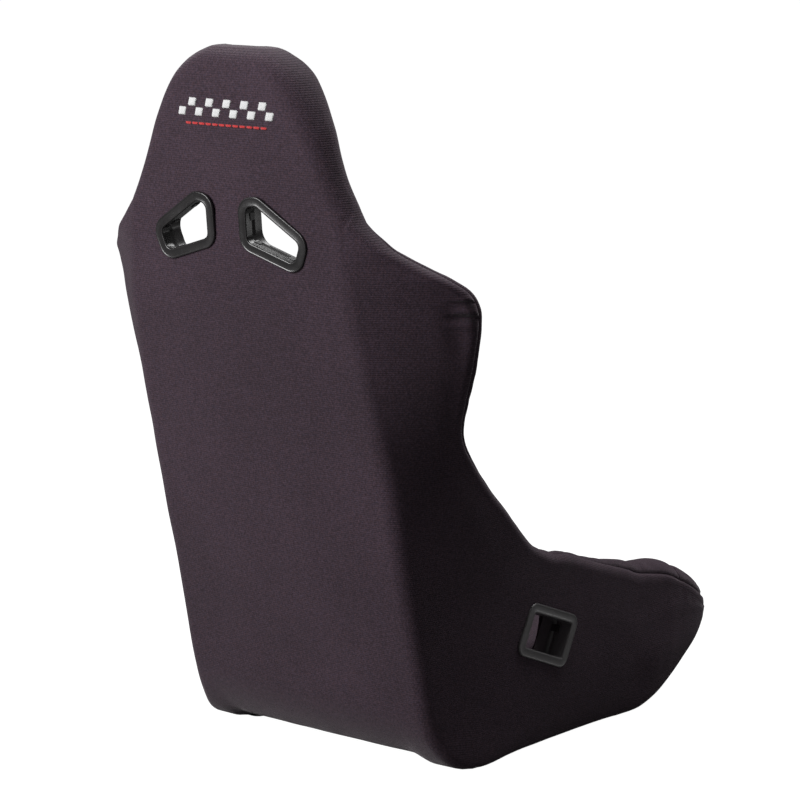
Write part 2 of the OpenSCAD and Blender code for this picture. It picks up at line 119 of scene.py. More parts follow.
def spline(table, t):
    """Non-uniform Catmull-Rom through the rows of a table at row number t."""
    table = table if table.ndim == 2 else table[:, None]
    i = min(int(t), N_ROWS - 2)
    k = t - i
    p1, p2 = table[i], table[i + 1]
    p0 = table[i - 1] if i > 0 else 2 * p1 - p2
    p3 = table[i + 2] if i < N_ROWS - 2 else 2 * p2 - p1
    d1 = _cum[i + 1] - _cum[i]
    d0 = _cum[i] - _cum[i - 1] if i > 0 else d1
    d2 = _cum[i + 2] - _cum[i + 1] if i < N_ROWS - 2 else d1
    m1 = (p2 - p0) / (d0 + d1) * d1
    m2 = (p3 - p1) / (d1 + d2) * d1
    return ((2 * k ** 3 - 3 * k * k + 1) * p1 + (k ** 3 - 2 * k * k + k) * m1
            + (-2 * k ** 3 + 3 * k * k) * p2 + (k ** 3 - k * k) * m2)


class Section:
    """One cross-section: its outer path, its rim roll and its front trim."""

    def __init__(self, t):
        self.s = s = spline(ST, t)
        self.y, self.z, phi, self.a, self.w, self.D, self.rc, self.rr, self.crown, self.dp, self.xv, end = s
        self.phi = math.radians(phi)
        self.edge = float(np.interp(t, np.arange(N_ROWS), EDGE_AT))
        self.crest = float(np.interp(t, np.arange(N_ROWS), CREST))
        self.c1 = np.array([self.a - self.rc, self.crown + self.rc])
        self.c2 = np.array([self.w - self.rr, self.crown + self.D - self.rr])
        v = self.c2 - self.c1
        length = max(math.hypot(*v), 12)
        q = max(-.9, min(.9, (self.rc - self.rr) / length))
        self.wall = -math.atan2(v[0], max(v[1], 3)) + math.asin(q)
        self.end = math.radians(end)
        self.bulge = 12 * min(1, math.hypot(*v) / 120)

    def roll(self, u):
        """Point on the rim roll, u from 0 at the wall to 1 at the roll's end."""
        t = self.wall + (self.end - self.wall) * u
        return self.c2 + self.rr * np.array([math.cos(t), math.sin(t)])

    def lift(self, p, side=1):
        return np.array([side * p[0], self.y - p[1] * math.cos(self.phi), self.z + p[1] * math.sin(self.phi)])

    def cover_path(self, n_flat, n_corner, n_wall, n_roll):
        """Half of the cover: middle line, corner, wall, and round the roll to the cover's edge."""
        pts = []
        x1 = self.a - self.rc
        for k in range(n_flat):
            x = x1 * k / n_flat
            pts.append((x, self.crown * (x / (x1 + 1e-9)) ** 2))
        for k in range(n_corner):
            t = -math.pi / 2 + (self.wall + math.pi / 2) * k / n_corner
            pts.append(tuple(self.c1 + self.rc * np.array([math.cos(t), math.sin(t)])))
        n = np.array([math.cos(self.wall), math.sin(self.wall)])
        p0, p1 = self.c1 + self.rc * n, self.c2 + self.rr * n
        for k in range(n_wall):
            u = k / n_wall
            pts.append(tuple(p0 + (p1 - p0) * u + n * self.bulge * u * (1 - u)))
        for k in range(n_roll + 1):
            pts.append(tuple(self.roll(self.edge * k / n_roll)))
        return np.array(pts)

    def seam(self):
        return np.array([min(self.xv, self.a - self.rc - 1), max(1.0, self.dp - 2)])

    def bolster_path(self, n_roll, n_in):
        """From the cover's edge over the roll and in to the middle pad's seam, with a crest."""
        pts = [self.roll(self.edge + (1 - self.edge) * k / n_roll) for k in range(n_roll)]
        q = self.roll(1.0)
        tq = np.array([-math.sin(self.end), math.cos(self.end)])
        v = self.seam()
        d = math.hypot(*(q - v))
        b, c = q + tq * d * .4, v + np.array([.30 * d, .02 * d])
        for k in range(n_in + 1):
            u = k / n_in
            pts.append((1 - u) ** 3 * q + 3 * (1 - u) ** 2 * u * b + 3 * (1 - u) * u * u * c + u ** 3 * v)
        return np.array(pts)

    def middle_path(self, n):
        v = self.seam()
        u = np.linspace(1, 0, n + 1)
        return np.stack([v[0] * u, v[1] + 2 * np.sqrt(np.clip(1 - u * u, 0, 1))], 1)


def resample(path, n):
    """n+1 points evenly spaced along a path."""
    seg = np.hypot(*np.diff(path, axis=0).T)
    s = np.concatenate([[0], np.cumsum(seg)])
    t = np.linspace(0, s[-1], n + 1)
    return np.stack([np.interp(t, s, path[:, k]) for k in range(path.shape[1])], 1)


def smooth01(t):
    t = np.clip(t, 0, 1)
    return t * t * (3 - 2 * t)


def grid_normals(g):
    du = np.zeros_like(g)
    dv = np.zeros_like(g)
    du[:, 1:-1] = g[:, 2:] - g[:, :-2]
    du[:, 0], du[:, -1] = g[:, 1] - g[:, 0], g[:, -1] - g[:, -2]
    dv[1:-1] = g[2:] - g[:-2]
    dv[0], dv[-1] = g[1] - g[0], g[-1] - g[-2]
    n = np.cross(du, dv)
    length = np.linalg.norm(n, axis=2, keepdims=True)
    return n / np.maximum(length, 1e-9)


def smooth_field(n, passes=3):
    """Averages a field of unit vectors over its neighbours."""
    for _ in range(passes):
        q = np.pad(n, ((1, 1), (1, 1), (0, 0)), mode="edge")
        n = q[1:-1, 1:-1] * 2 + q[:-2, 1:-1] + q[2:, 1:-1] + q[1:-1, :-2] + q[1:-1, 2:]
        n = n / np.maximum(np.linalg.norm(n, axis=2, keepdims=True), 1e-9)
    return n


def noise3(p, scale, seed=0, octaves=2):
    """Smooth, repeatable noise in -1..1 from a sum of sines."""
    r = np.random.default_rng(seed)
    out = np.zeros(p.shape[:-1])
    amp, total = 1.0, 0.0
    for o in range(octaves):
        for _ in range(4):
            d = r.normal(size=3)
            d /= np.linalg.norm(d)
            out += amp * np.sin((p @ d) * (2 * math.pi / (scale / 2 ** o)) + r.uniform(0, 6.28)) / 4
        total += amp
        amp *= .5
    return out / total * 1.6


def drape(g):
    """How the padded, covered seat departs from the plain loft: fuller at the head, slack at the neck."""
    x, y, z = np.abs(g[..., 0]), g[..., 1], g[..., 2]
    out = g.copy()
    full = smooth01((z - 762) / 40) * smooth01((893 - z) / 40)
    neck = np.exp(-.5 * ((z - 715) / 28) ** 2)
    k = smooth01((x - 30) / 60)
    out[..., 0] += np.sign(g[..., 0]) * k * (3.2 * full + 1.0 * neck)
    out[..., 1] -= k * 2.2 * full * smooth01((386 - y) / 30)
    return out


# ---------------------------------------------------------------- mesh making
def new_object(name, verts_mm, faces, uvs=None, smooth=True):
    me = bpy.data.meshes.new(name)
    me.from_pydata([tuple(v) for v in np.asarray(verts_mm, float) / 1000], [], [tuple(f) for f in faces])
    if uvs is not None:
        layer = me.uv_layers.new(name="weave")
        uvs = np.asarray(uvs, float)
        idx = np.zeros(len(me.loops), int)
        me.loops.foreach_get("vertex_index", idx)
        layer.data.foreach_set("uv", uvs[idx].ravel().astype(np.float32))
    me.validate()
    if smooth:
        me.polygons.foreach_set("use_smooth", [True] * len(me.polygons))
    me.update()
    ob = bpy.data.objects.new(name, me)
    bpy.context.scene.collection.objects.link(ob)
    return ob


def arc_uv(g, rib=1.0):
    """Metres along and across a grid."""
    m, n = g.shape[:2]
    across = np.zeros((m, n))
    across[:, 1:] = np.cumsum(np.linalg.norm(np.diff(g, axis=1), axis=2), axis=1)
    across -= across[:, n // 2][:, None]
    along = np.zeros((m, n))
    along[1:] = np.cumsum(np.linalg.norm(np.diff(g, axis=0), axis=2), axis=0)
    mid = along[:, n // 2][:, None]
    along = mid * .85 + along * .15
    return np.stack([across / 1000, along / 1000], 2)


def solid_from_grids(name, outer, inner, uv_scale=1.0, uvs=None):
    """Closed form between two grids; outer's normals point out."""
    m, n = outer.shape[:2]
    k = m * n
    verts = np.concatenate([outer.reshape(-1, 3), inner.reshape(-1, 3)])
    uv = arc_uv(outer) if uvs is None else uvs
    uv = np.concatenate([uv.reshape(-1, 2), uv.reshape(-1, 2)]) * uv_scale
    i, j = np.meshgrid(np.arange(m - 1), np.arange(n - 1), indexing="ij")
    a = (i * n + j).ravel()
    faces = [np.stack([a, a + 1, a + n + 1, a + n], 1), np.stack([k + a + n, k + a + n + 1, k + a + 1, k + a], 1)]
    b = np.arange(n - 1)
    faces.append(np.stack([k + b, k + b + 1, b + 1, b], 1))
    e = (m - 1) * n
    faces.append(np.stack([e + b, e + b + 1, k + e + b + 1, k + e + b], 1))
    c = np.arange(m - 1) * n
    faces.append(np.stack([c, c + n, k + c + n, k + c], 1))
    c = c + n - 1
    faces.append(np.stack([k + c, k + c + n, c + n, c], 1))
    return new_object(name, verts, np.concatenate(faces), uv)


def orient(ob):
    bm = bmesh.new()
    bm.from_mesh(ob.data)
    bmesh.ops.recalc_face_normals(bm, faces=bm.faces)
    bm.to_mesh(ob.data)
    bm.free()


def set_material(ob, mat):
    ob.data.materials.clear()
    ob.data.materials.append(mat)


def apply_modifiers(ob):
    dg = bpy.context.evaluated_depsgraph_get()
    me = bpy.data.meshes.new_from_object(ob.evaluated_get(dg), preserve_all_data_layers=True, depsgraph=dg)
    old = ob.data
    ob.modifiers.clear()
    ob.data = me
    me.name = old.name + "_made"
    bpy.data.meshes.remove(old)


# ---------------------------------------------------------------- belt slots
SHOULDER = np.array([[41, 695.6], [45.9, 696.3], [100.8, 662], [97, 652.1], [41, 669.2]], float)
LAP = np.array([[63, 179], [-4, 153], [14, 115], [81, 142]], float)


def rot(axis, deg):
    c, s = math.cos(math.radians(deg)), math.sin(math.radians(deg))
    return {"x": np.array([[1, 0, 0], [0, c, -s], [0, s, c]]),
            "y": np.array([[c, 0, s], [0, 1, 0], [-s, 0, c]]),
            "z": np.array([[c, -s, 0], [s, c, 0], [0, 0, 1]])}[axis]


def at_shoulder(p, side):
    """Bezel plane coordinates (x, z, height towards the front) to the frame."""
    p = np.asarray(p, float) - [70, 670, 0]
    p = p @ rot("x", 90).T
    p = p @ rot("x", -4.9).T
    p = p @ rot("z", -2).T
    p = p + [70, 379, 670]
    return p * [side, 1, 1]


def at_lap(p, side):
    """Bezel plane coordinates (y, z, height outwards) to the frame."""
    p = np.asarray(p, float) - [40, 147.5, 0]
    p = p @ np.array([[0, 0, 1], [1, 0, 0], [0, 1, 0]], float).T
    p = p @ rot("z", 2.7).T
    p = p + [219.5, 40, 147.5]
    return p * [side, 1, 1]


def ring_points(outline, r, arc=7):
    """The outline grown by r with round corners, the same count for every r."""
    c = np.asarray(outline, float)
    n = len(c)
    area = .5 * np.sum(c[:, 0] * np.roll(c[:, 1], -1) - np.roll(c[:, 0], -1) * c[:, 1])
    if area < 0:
        c = c[::-1]
    out = []
    for i in range(n):
        a, b, d = c[i - 1], c[i], c[(i + 1) % n]
        n0 = np.array([(b - a)[1], -(b - a)[0]]) / np.linalg.norm(b - a)
        n1 = np.array([(d - b)[1], -(d - b)[0]]) / np.linalg.norm(d - b)
        t0, t1 = math.atan2(n0[1], n0[0]), math.atan2(n1[1], n1[0])
        if t1 < t0:
            t1 += 2 * math.pi
        for k in range(arc + 1):
            t = t0 + (t1 - t0) * k / arc
            out.append(b + r * np.array([math.cos(t), math.sin(t)]))
    return np.array(out)


# ---------------------------------------------------------------- materials
class Nodes:
    """Small helper to build a node tree."""

    def __init__(self, name, color, rough):
        self.mat = bpy.data.materials.new(name)
        self.mat.use_nodes = True
        self.mat.diffuse_color = (*color, 1)
        self.t = self.mat.node_tree
        self.t.nodes.clear()
        self.out = self.t.nodes.new("ShaderNodeOutputMaterial")
        self.bsdf = self.t.nodes.new("ShaderNodeBsdfPrincipled")
        self.t.links.new(self.bsdf.outputs[0], self.out.inputs[0])
        self.set(self.bsdf, "Base Color", (*color, 1))
        self.set(self.bsdf, "Roughness", rough)

    def set(self, node, socket, value):
        if isinstance(value, bpy.types.NodeSocket):
            self.t.links.new(value, node.inputs[socket])
        else:
            node.inputs[socket].default_value = value

    def coords(self, uv=None):
        if uv:
            n = self.t.nodes.new("ShaderNodeUVMap")
            n.uv_map = uv
            return n.outputs[0]
        return self.t.nodes.new("ShaderNodeTexCoord").outputs["Object"]

    def noise(self, vec, scale, detail=3, rough=.55, distort=0.0):
        n = self.t.nodes.new("ShaderNodeTexNoise")
        self.set(n, "Vector", vec)
        self.set(n, "Scale", scale)
        self.set(n, "Detail", detail)
        self.set(n, "Roughness", rough)
        self.set(n, "Distortion", distort)
        return n.outputs[0]

    def wave(self, vec, scale, axis, distort=0.0, dscale=1.0, detail=1.0):
        n = self.t.nodes.new("ShaderNodeTexWave")
        n.wave_type, n.bands_direction, n.wave_profile = "BANDS", axis, "SIN"
        self.set(n, "Vector", vec)
        self.set(n, "Scale", scale)
        self.set(n, "Distortion", distort)
        self.set(n, "Detail", detail)
        self.set(n, "Detail Scale", dscale)
        return n.outputs["Fac"]

    def math(self, op, a, b=0.0, clamp=False):
        n = self.t.nodes.new("ShaderNodeMath")
        n.operation, n.use_clamp = op, clamp
        self.set(n, 0, a)
        self.set(n, 1, b)
        return n.outputs[0]

    def spread(self, v, lo, hi, a=0.0, b=1.0):
        n = self.t.nodes.new("ShaderNodeMapRange")
        self.set(n, "Value", v)
        self.set(n, "From Min", lo)
        self.set(n, "From Max", hi)
        self.set(n, "To Min", a)
        self.set(n, "To Max", b)
        return n.outputs[0]

    def mix(self, fac, a, b):
        n = self.t.nodes.new("ShaderNodeMix")
        n.data_type = "RGBA"
        self.set(n, 0, fac)
        for k, v in ((6, a), (7, b)):
            self.set(n, k, v if isinstance(v, bpy.types.NodeSocket) else (*v, 1))
        return n.outputs[2]

    def spot(self, vec, centre, turn, radii):
        """1 at a point in mm, easing to 0 at the surface of a turned ellipsoid."""
        m = self.t.nodes.new("ShaderNodeMapping")
        m.vector_type = "TEXTURE"
        self.set(m, "Vector", vec)
        self.set(m, "Location", tuple(c / 1000 for c in centre))
        self.set(m, "Rotation", tuple(math.radians(a) for a in turn))
        self.set(m, "Scale", tuple(r / 1000 for r in radii))
        g = self.t.nodes.new("ShaderNodeTexGradient")
        g.gradient_type = "SPHERICAL"
        self.set(g, "Vector", m.outputs[0])
        e = self.t.nodes.new("ShaderNodeMapRange")
        e.interpolation_type = "SMOOTHSTEP"
        self.set(e, "Value", g.outputs["Fac"])
        return e.outputs[0]

    def bump(self, height, distance, strength=1.0, below=None):
        n = self.t.nodes.new("ShaderNodeBump")
        self.set(n, "Height", height)
        self.set(n, "Distance", distance)
        self.set(n, "Strength", strength)
        if below is not None:
            self.set(n, "Normal", below)
        return n.outputs[0]


def period(mm):
    """Wave texture scale for bands this far apart."""
    return 1000 * 2 * math.pi / (20 * mm)


def knit(name, base, light, sheen=.22, uv="weave", row_mm=2.6, stitch_mm=1.7, depth=.00030, tint=(1, .93, .97),
         folds=()):
    """Fine ribbed knit: rows of small stitches, a fuzz of loose fibre and slow fading."""
    n = Nodes(name, base, .86)
    vec, obj = n.coords(uv), n.coords()
    rows = n.wave(vec, period(row_mm), "Y", 1.1, 1.5, 2.0)
    cols = n.wave(vec, period(stitch_mm), "X", 1.3, 1.5, 2.0)
    stitch = n.math("MULTIPLY", rows, n.spread(cols, 0, 1, .55, 1))
    fuzz = n.noise(obj, 1500, 2, .7)
    fleck = n.noise(obj, 420, 3, .6)
    slow = n.noise(obj, 7, 3, .5)
    tone = n.math("ADD", n.spread(stitch, 0, 1, .22, .58), n.spread(fleck, .3, .7, -.46, .46))
    tone = n.math("ADD", tone, n.spread(slow, .3, .7, -.12, .12), clamp=True)
    # melange yarn: warm and cool fibres twisted together
    twist = n.noise(obj, 640, 2, .6)
    dark = n.mix(n.spread(twist, .35, .65), (base[0] * 1.12, base[1], base[2] * .9), (base[0] * .88, base[1], base[2] * 1.1))
    pale = n.mix(n.spread(twist, .35, .65), (light[0] * 1.12, light[1], light[2] * .9), (light[0] * .88, light[1], light[2] * 1.1))
    n.set(n.bsdf, "Base Color", n.mix(tone, dark, pale))
    n.set(n.bsdf, "Roughness", n.spread(fuzz, .2, .8, .78, .95))
    n.set(n.bsdf, "Specular IOR Level", .22)
    n.set(n.bsdf, "Sheen Weight", sheen)
    n.set(n.bsdf, "Sheen Roughness", .38)
    n.set(n.bsdf, "Sheen Tint", (*tint, 1))
    under = n.bump(n.noise(obj, 55, 3, .5), .0006, .35)
    if folds:
        total = None
        for amount, centre, turn, radii in folds:
            f = n.math("MULTIPLY", n.spot(obj, centre, turn, radii), amount)
            total = f if total is None else n.math("ADD", total, f)
        under = n.bump(total, .001, 1.0, under)
    h = n.math("ADD", stitch, n.math("MULTIPLY", fuzz, .55))
    n.set(n.bsdf, "Normal", n.bump(h, depth, .9, under))
    return n.mat


def moulded(name, base, light, rough=.32, grain=900, depth=.00008, coat=0.0, scratch=True, shine=.5):
    """Moulded plastic: fine spark-erosion grain, faint scuffs, slight tone change."""
    n = Nodes(name, base, rough)
    obj = n.coords()
    fine = n.noise(obj, grain, 3, .6)
    slow = n.noise(obj, 24, 4, .6)
    scuff = n.spread(n.noise(obj, 130, 5, .75, 1.4), .56, .70)
    n.set(n.bsdf, "Base Color", n.mix(n.spread(slow, .3, .7, .1, .7), base, light))
    r = n.spread(slow, .3, .7, rough - .06, rough + .08)
    if scratch:
        r = n.math("ADD", r, n.math("MULTIPLY", scuff, .16), clamp=True)
    n.set(n.bsdf, "Roughness", r)
    n.set(n.bsdf, "Specular IOR Level", shine)
    n.set(n.bsdf, "Coat Weight", coat)
    n.set(n.bsdf, "Coat Roughness", .12)
    n.set(n.bsdf, "Normal", n.bump(fine, depth, .6))
    return n.mat


def metal(name, base, light, rough=.34):
    """Plated steel: drawn grain, dull patches and a few dark specks."""
    n = Nodes(name, base, rough)
    obj = n.coords()
    patch = n.noise(obj, 60, 4, .65)
    speck = n.spread(n.noise(obj, 700, 2, .5), .64, .74)
    drawn = n.wave(obj, period(.5), "Y", 6, 1, 3)
    c = n.mix(n.spread(patch, .3, .7), base, light)
    n.set(n.bsdf, "Base Color", n.mix(n.math("MULTIPLY", speck, .6), c, (.12, .11, .10)))
    n.set(n.bsdf, "Metallic", 1.0)
    n.set(n.bsdf, "Roughness", n.spread(patch, .3, .7, rough - .08, rough + .14))
    n.set(n.bsdf, "Normal", n.bump(n.math("ADD", drawn, patch), .00006, .5))
    return n.mat


def webbing(name, base, light):
    """Plain woven tape: over and under threads."""
    n = Nodes(name, base, .82)
    obj = n.coords()
    a, b = n.wave(obj, period(1.6), "X"), n.wave(obj, period(1.6), "Y")
    w = n.math("MULTIPLY", a, b)
    n.set(n.bsdf, "Base Color", n.mix(n.spread(n.math("ADD", w, n.noise(obj, 600, 2)), .3, 1.3), base, light))
    n.set(n.bsdf, "Sheen Weight", .25)
    n.set(n.bsdf, "Normal", n.bump(w, .0003, .8))
    return n.mat


def thread(name, base, light, pitch=.7):
    """Satin-stitch embroidery: close parallel threads with a soft shine."""
    n = Nodes(name, base, .5)
    obj = n.coords()
    t = n.wave(obj, period(pitch), "X", .8, 1.5, 2)
    f = n.noise(obj, 700, 3, .6)
    n.set(n.bsdf, "Base Color", n.mix(n.spread(n.math("ADD", t, n.math("MULTIPLY", f, .5)), .2, 1.2), base, light))
    n.set(n.bsdf, "Roughness", n.spread(f, .3, .7, .42, .66))
    n.set(n.bsdf, "Sheen Weight", .2)
    n.set(n.bsdf, "Normal", n.bump(t, .00025, .9))
    return n.mat


def gelcoat(name, base, light):
    """Back of a glass-fibre moulding: gel over chopped strand that prints through."""
    n = Nodes(name, base, .38)
    obj = n.coords()
    strand = n.wave(obj, period(5), "DIAGONAL", 14, 1.2, 3)
    mat_ = n.noise(obj, 170, 4, .7, 1.8)
    n.set(n.bsdf, "Base Color", n.mix(n.spread(mat_, .35, .65, .05, .8), base, light))
    n.set(n.bsdf, "Roughness", n.spread(mat_, .3, .7, .26, .55))
    n.set(n.bsdf, "Coat Weight", .25)
    n.set(n.bsdf, "Coat Roughness", .2)
    n.set(n.bsdf, "Normal", n.bump(n.math("ADD", strand, mat_), .0005, .5))
    return n.mat


# gathers round the wings' tips and short folds by the nose: height in mm, where, turn, radii
FOLDS = []
for side in (-1, 1):
    for rise, dx, y, z, tilt, long_, wide in ((-3.4, 280, 275, 601, 10, 12, 3.8), (2.2, 281, 274, 606, 8, 10, 5),
                                              (-5.4, 280, 272, 583, 24, 15, 4.8), (3.4, 281, 270, 591, 18, 12, 6.5),
                                              (2.0, 279, 274, 574, 26, 14, 7)):
        FOLDS.append((rise, (side * dx, y, z), (0, -side * tilt, -side * -53), (long_, 40, wide)))
    for rise, y, z, tilt, long_, wide in ((-.45, -264, 138, 30, 18, 9), (.7, -252, 145, 30, 18, 11),
                                          (-.4, -281, 131, 40, 17, 8), (.6, -270, 137, 36, 17, 10)):
        FOLDS.append((rise, (side * 219, y, z), (tilt, 0, 0), (40, long_, wide)))
COVER = knit("knit_cover", (.0248, .0149, .0215), (.0695, .0432, .0614), folds=FOLDS)
PAD = knit("knit_pad", (.0248, .0149, .0215), (.0695, .0432, .0614), row_mm=2.4)
BEZEL = moulded("bezel_plastic", (.0090, .0080, .0085), (.0170, .0150, .0160), rough=.33, coat=.15, shine=.6)
# the lap bezels get a paler copy of the bezel plastic: painted light, so their faces on the base's shaded side come out
# as bright as lit ones
LAP_BEZEL_PAINTED_LIGHT = moulded("lap_bezel_plastic_painted_light", (.062, .058, .060), (.105, .098, .102), rough=.40, coat=.25, shine=.7)
SLEEVE = moulded("sleeve_plastic", (.0060, .0055, .0058), (.0110, .0100, .0105), rough=.36)
FOOT = moulded("foot_plastic", (.0065, .0062, .0064), (.0130, .0125, .0128), rough=.55, grain=500, depth=.0002)
ZINC = metal("zinc_plate", (.50, .49, .44), (.66, .65, .60))
STEEL = metal("plain_steel", (.26, .26, .27), (.40, .40, .41), .42)
WIRE = metal("staple_wire", (.52, .52, .53), (.68, .68, .69), .3)
TAPE = webbing("hem_tape", (.010, .009, .010), (.030, .028, .030))
GEL = gelcoat("shell_gelcoat", (.0085, .0085, .0090), (.0190, .0190, .0200))
WHITE = thread("thread_white", (.62, .62, .63), (.88, .88, .88))
RED = thread("thread_red", (.42, .010, .012), (.66, .030, .030))
SEWN = thread("thread_dark", (.012, .010, .011), (.040, .034, .038), .4)

for node, mat in (("shell", GEL), ("mount_feet", FOOT), ("mount_inserts", ZINC), ("insert_plates", STEEL),
                  ("hem_strip", TAPE), ("hem_staples", WIRE)):
    o = NODES[node]
    for k in range(max(1, len(o.material_slots))):
        if k < len(o.material_slots):
            o.material_slots[k].material = mat
        else:
            o.data.materials.append(mat)


# ---------------------------------------------------------------- the cover
N_FLAT, N_CORNER, N_WALL, N_ROLL = 22, 7, 34, 8
SUB = 5


def gauss(d):
    return np.exp(-.5 * d * d)


def cover_relief(g, n):
    """How far the stretched cover stands off the loft, in mm."""
    x, y, z = np.abs(g[..., 0]), g[..., 1], g[..., 2]
    h = .5 * noise3(g, 190, 3) + .25 * noise3(g, 70, 4)
    # the wall stands a little fuller below the wings, and at the nose's underside
    j = np.minimum(np.arange(g.shape[1]), g.shape[1] - 1 - np.arange(g.shape[1]))
    inner = smooth01((j - N_ROLL) / 10.0)[None, :]
    h = h + 1.3 * inner * smooth01((640 - z) / 60) * smooth01(z / 30)
    # a soft hollow inside the rolled rim of the wings
    h = h - 2.2 * (x > 240) * gauss((x - 268) / 6.5) * smooth01((z - 520) / 40) * smooth01((606 - z) / 24)
    # soft hollows and short folds on the base's side, near the nose
    flank = smooth01((x - 205) / 10)
    h = h - 1.6 * flank * gauss((y + 165) / 26) * gauss((z - 142) / 12)
    h = h - 1.2 * flank * gauss((y + 240) / 20) * gauss((z - 150) / 10)
    nose = smooth01((-140 - y) / 70) * smooth01((118 - z) / 50) * smooth01((y + 352) / 30)
    h = h + 5.0 * nose * inner
    return h


def build_cover():
    ts = np.linspace(0, N_ROWS - 1, (N_ROWS - 1) * SUB + 1)
    rows = []
    for t in ts:
        s = Section(t)
        half = s.cover_path(N_FLAT, N_CORNER, N_WALL, N_ROLL)
        rows.append([s.lift(p, -1) for p in half[::-1]] + [s.lift(p, 1) for p in half[1:]])
    g = drape(np.array(rows))
    n = grid_normals(g)
    g = g + n * cover_relief(g, n)[..., None]
    # over the feet the cover is drawn out and down
    x, y, z = np.abs(g[..., 0]), g[..., 1], g[..., 2]
    low = smooth01((52 - z) / 40)
    rear = gauss((y - 165) / 34) * smooth01((x - 148) / 18) * low
    front = gauss((y + 158) / 26) * smooth01((x - 150) / 50) * low
    g[..., 0] += np.sign(g[..., 0]) * (2.5 * rear + 3 * front)
    g[..., 1] += 6 * gauss((y - 188) / 22) * smooth01((x - 144) / 18) * low
    g[..., 2] -= 10 * rear + 3 * front
    g[..., 2] = np.maximum(g[..., 2], 1.8)
    n = smooth_field(grid_normals(g))
    thin = np.array([np.clip((Section(t).rr - 1) / 16, .12, 1) for t in ts])[:, None, None]
    # the hem turns in under the trim
    m = g.shape[1]
    j = np.minimum(np.arange(m), m - 1 - np.arange(m))
    turn = np.where(j == 0, -2.6, np.where(j == 1, -.9, np.where(j == 2, -.1, 0.0)))
    g = g + n * turn[None, :, None] * thin
    # weave: level rows on the back and the sides, along the base underneath
    mid = g[:, m // 2]
    arc = np.concatenate([[0], np.cumsum(np.linalg.norm(np.diff(mid, axis=0), axis=1))])
    fan = 1 - smooth01((mid[:, 2] - 20) / 60)
    v_side = g[..., 2]
    v_base = (mid[0, 2] - arc)[:, None] + np.zeros(g.shape[:2])
    k = np.clip((np.abs(g[..., 0]) - 150) / 60, 0, 1)
    v = v_base * (1 - k) * fan[:, None] + v_side * (1 - (1 - k) * fan[:, None])
    u = arc_uv(g)[..., 0]
    uv = np.stack([u, v / 1000], 2)
    ob = solid_from_grids("cover", g, g - 1.7 * n * thin, uvs=uv)
    orient(ob)
    return ob


def prism(verts2d, h0, h1, place):
    a = np.array([(p[0], p[1], h0) for p in verts2d])
    b = np.array([(p[0], p[1], h1) for p in verts2d])
    v = place(np.concatenate([a, b]))
    n = len(verts2d)
    f = [list(range(n))[::-1], list(range(n, 2 * n))] + [[i, (i + 1) % n, n + (i + 1) % n, n + i] for i in range(n)]
    return v, f


def rounded_rect(cx, cy, w, l, r, k=8):
    pts = []
    for sx, sy, t0 in ((1, 1, 0), (-1, 1, 90), (-1, -1, 180), (1, -1, 270)):
        for i in range(k + 1):
            t = math.radians(t0 + 90 * i / k)
            pts.append((cx + sx * (w / 2 - r) + r * math.cos(t), cy + sy * (l / 2 - r) + r * math.sin(t)))
    return np.array(pts)


def cutter(name, parts):
    verts, faces = [], []
    for v, f in parts:
        o = sum(len(q) for q in verts)
        verts.append(v)
        faces += [[i + o for i in q] for q in f]
    ob = new_object(name, np.concatenate(verts), faces, smooth=False)
    orient(ob)
    return ob


def cut(ob, tool):
    m = ob.modifiers.new("cut", "BOOLEAN")
    m.operation, m.solver, m.object = "DIFFERENCE", "EXACT", tool
    apply_modifiers(ob)


slots = cutter("tool_slots", [
    prism(ring_points(SHOULDER, 13.2), -30, 60, lambda p, s=s: at_shoulder(p, s)) for s in (-1, 1)] + [
    prism(ring_points(LAP, 6.2), -70, 30, lambda p, s=s: at_lap(p, s)) for s in (-1, 1)])
under = cutter("tool_under", [
    prism(rounded_rect(s * 176, 143, 50.8, 56.8, 12.4), -20, 15.6, lambda p: p) for s in (-1, 1)] + [
    prism(rounded_rect(s * 176, -150, 50.8, 48.8, 12.4), -20, 15.6, lambda p: p) for s in (-1, 1)] + [
    prism(rounded_rect(0, -2, 276, 240, 20), -20, 20, lambda p: p)])

cover = build_cover()
cut(cover, slots)
cut(cover, under)
set_material(cover, COVER)
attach(cover, "root")
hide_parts("rear_cover")


# ---------------------------------------------------------------- the pads
def edge_roll(d, w):
    """0 at a seam, rising like a quarter circle to 1 at distance w."""
    t = np.clip(d / w, 0, 1)
    return np.sqrt(1 - (1 - t) ** 2)


